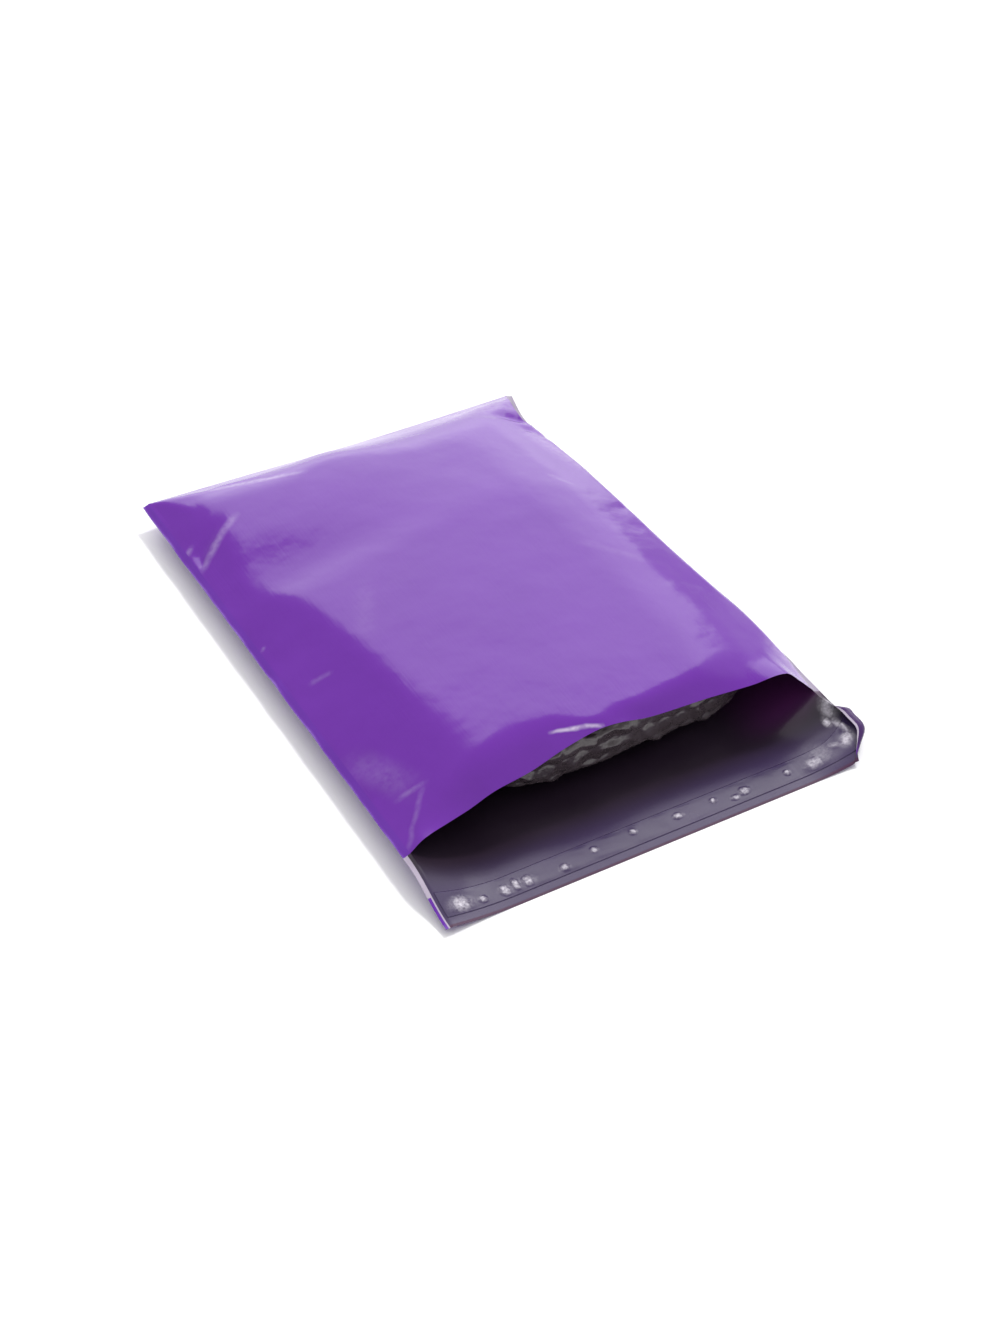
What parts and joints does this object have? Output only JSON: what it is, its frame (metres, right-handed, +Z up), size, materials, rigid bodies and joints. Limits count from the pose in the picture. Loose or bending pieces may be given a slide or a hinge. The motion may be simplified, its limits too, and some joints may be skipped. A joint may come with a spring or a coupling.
{
  "type": "poly mailer bag",
  "caption": "Filled plastic mailing bag lying open on its back panel, with welded side seams, a sealing flap with glue strip and peel-off liner, and bubble-wrapped goods inside.",
  "frame": {"origin": "on the surface that the bag lies on, under the middle of its outline", "axes": "+X across the bag from the left weld to the right weld, +Y from the open mouth and its flap to the folded closed end, +Z up out of the back panel"},
  "size_m": [0.2544, 0.3622, 0.0432],
  "materials": {
    "film": "gloss",
    "glue": "satin",
    "liner": "gloss",
    "bubble_wrap": "gloss"
  },
  "bodies": {
    "root": {"mailer_film": "film", "glue_strip": "glue", "release_liner": "liner", "wrapped_goods": "bubble_wrap"}
  },
  "joints": []
}
